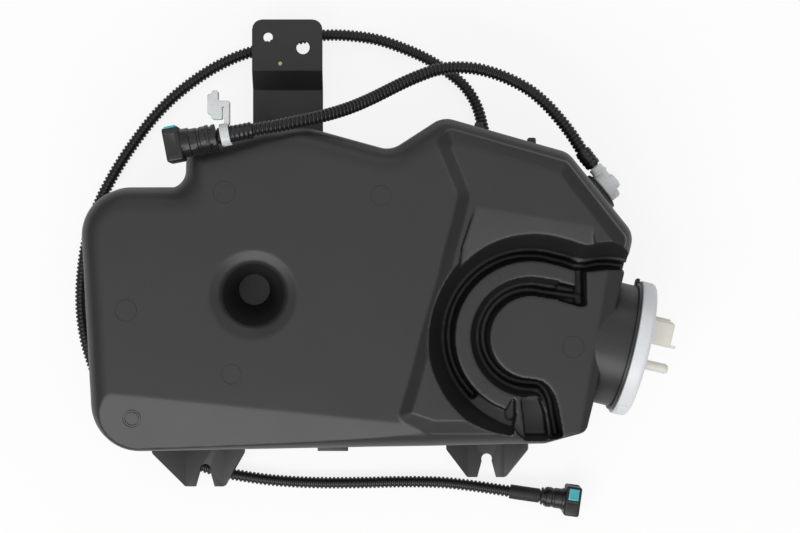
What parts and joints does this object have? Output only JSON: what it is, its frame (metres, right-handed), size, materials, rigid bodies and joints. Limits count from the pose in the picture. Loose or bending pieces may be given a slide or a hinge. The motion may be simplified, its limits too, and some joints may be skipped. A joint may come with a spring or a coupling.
{
  "type": "diesel particulate filter additive tank",
  "caption": "Blow-moulded additive tank with a C-shaped double channel, steel fixing brackets, a dosing pump in its neck under a lock ring, and hoses with quick connectors.",
  "frame": {"origin": "centre of the middle rest pad's underside on the tank's back, at table height", "axes": "+X along the tank towards the neck, +Y towards the strap's end, +Z out of the front face with the C-shaped channel"},
  "size_m": [0.4003, 0.3353, 0.1189],
  "materials": {
    "tank_plastic": "moulded grain, satin",
    "coated_steel": "black electro-coat, satin",
    "screw_zinc": "zinc plated",
    "white_nylon": "natural white, satin",
    "ivory_nylon": "natural ivory, satin",
    "black_nylon": "moulded, satin",
    "teal_plastic": "moulded, semi-gloss",
    "rubber": "matt",
    "hose_black": "corrugated, satin",
    "pump_steel": "rolled can",
    "strainer_mesh": "woven mesh",
    "pin_metal": "tin plated"
  },
  "bodies": {
    "tank": {"fill_connector_body": "black_nylon", "fill_grommet": "rubber", "fill_hose": "hose_black", "fill_hose_tape_connector_end": "rubber", "fill_hose_tape_valve_end": "rubber", "fill_o_ring_inner": "rubber", "fill_o_ring_outer": "rubber", "fill_spacer": "white_nylon", "fill_valve": "white_nylon", "hose_clip": "white_nylon", "left_foot": "coated_steel", "left_foot_screw_a": "screw_zinc", "left_foot_screw_b": "screw_zinc", "neck_seal": "rubber", "outlet_tube": "black_nylon", "pump_body": "pump_steel", "pump_flange": "ivory_nylon", "right_foot": "coated_steel", "right_foot_screw_a": "screw_zinc", "right_foot_screw_b": "screw_zinc", "strainer": "strainer_mesh", "swirl_pot": "black_nylon", "tank_shell": "tank_plastic", "terminal_pin_1": "pin_metal", "terminal_pin_2": "pin_metal", "top_bracket": "coated_steel", "top_bracket_screw_a": "screw_zinc", "top_bracket_screw_b": "screw_zinc", "vent_connector_body": "black_nylon", "vent_elbow": "black_nylon", "vent_grommet": "rubber", "vent_hose": "hose_black", "vent_hose_sleeve": "rubber", "vent_o_ring_inner": "rubber", "vent_o_ring_outer": "rubber", "vent_spacer": "white_nylon"},
    "lock_ring": {"lock_ring": "white_nylon"},
    "fill_button": {"fill_release_button": "teal_plastic"},
    "vent_button": {"vent_release_button": "teal_plastic"}
  },
  "joints": [
    {"name": "lock_ring_turn", "type": "hinge", "parent": "tank", "child": "lock_ring", "pos_m": [0.1462, -0.052, 0.058], "axis": [0.9724, -0.2334, 0], "range_deg": [0, 60]},
    {"name": "fill_button_press", "type": "slide", "parent": "tank", "child": "fill_button", "axis": [0.1908, -0.9816, 0], "range_m": [0, 0.0015], "stiffness_N_per_m": 300, "springref_m": -0.001},
    {"name": "vent_button_press", "type": "slide", "parent": "tank", "child": "vent_button", "axis": [0, 0, -1], "range_m": [0, 0.0015], "stiffness_N_per_m": 300, "springref_m": -0.001}
  ]
}
